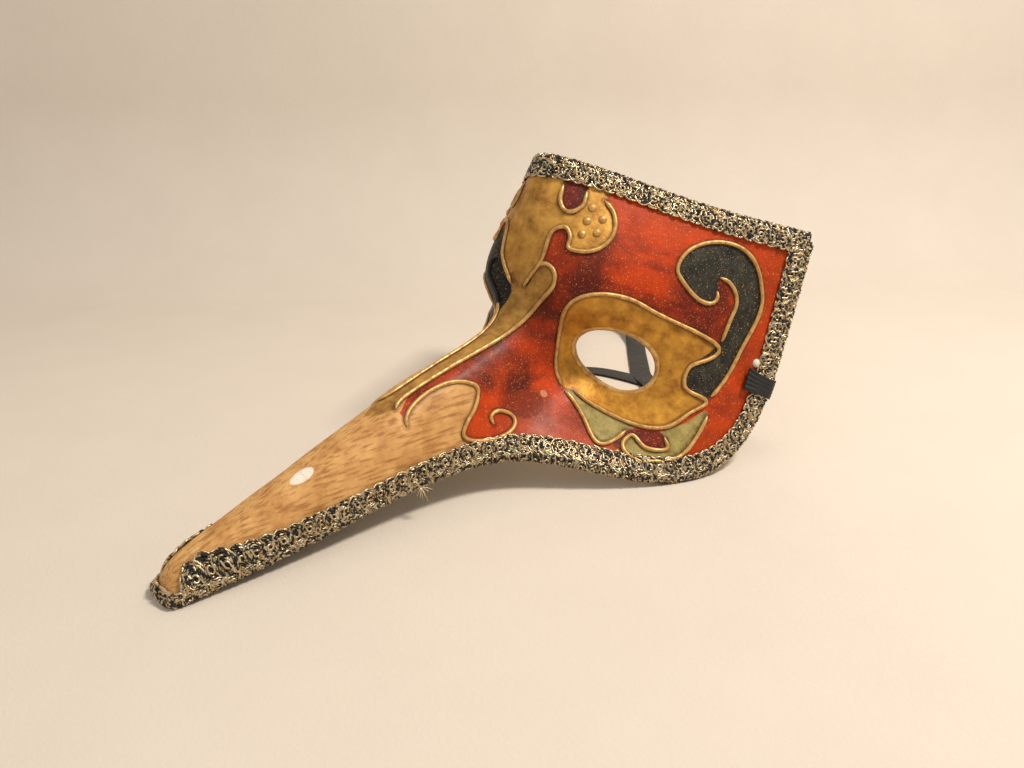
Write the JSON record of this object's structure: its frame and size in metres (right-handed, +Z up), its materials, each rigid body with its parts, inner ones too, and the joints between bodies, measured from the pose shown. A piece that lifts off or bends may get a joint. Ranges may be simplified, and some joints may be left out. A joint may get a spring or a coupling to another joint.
{
  "type": "plague doctor mask",
  "caption": "Long-nosed half mask in painted papier-mache with eye openings, relief scrolls, metallic braid round the rim and tying ribbons, standing on its rim.",
  "frame": {"origin": "centre of the rectangle that the mask stands on, on the plane of its lowest points, without the ribbons", "axes": "+Z up as the mask stands on its rim, the nose points to -Y, the wearer's left is +X, and the mask is symmetric about X = 0"},
  "size_m": [0.208, 0.3721, 0.1349],
  "materials": {
    "painted_paper": "satin, hand painted and patinated",
    "gold_relief": "antique gold paint over gesso, slightly worn",
    "lurex_braid": "black and gold metallic thread",
    "black_ribbon": "woven satin",
    "dried_glue": "gloss"
  },
  "bodies": {
    "root": {"shell": "painted_paper", "eye_rim_left": "gold_relief", "eye_rim_right": "gold_relief", "braid_top": "lurex_braid", "braid_left": "lurex_braid", "braid_right": "lurex_braid", "eye_outline_left": "gold_relief", "eye_outline_right": "gold_relief", "ridge_line_left": "gold_relief", "ridge_line_right": "gold_relief", "nose_scroll_left": "gold_relief", "nose_scroll_right": "gold_relief", "forehead_scroll_left": "gold_relief", "forehead_scroll_right": "gold_relief", "forehead_notch_left": "gold_relief", "forehead_notch_right": "gold_relief", "forehead_beads_left": "gold_relief", "forehead_beads_right": "gold_relief", "temple_scroll_left": "gold_relief", "temple_scroll_right": "gold_relief", "temple_inner_line_left": "gold_relief", "temple_inner_line_right": "gold_relief", "cheek_scroll_left": "gold_relief", "cheek_scroll_right": "gold_relief", "cheek_panel_left": "gold_relief", "cheek_panel_right": "gold_relief", "ribbon_tab_left": "black_ribbon", "ribbon_tab_right": "black_ribbon", "glue_dab_left": "dried_glue", "glue_dab_right": "dried_glue", "ribbon_left": "black_ribbon", "ribbon_right": "black_ribbon"}
  },
  "joints": []
}
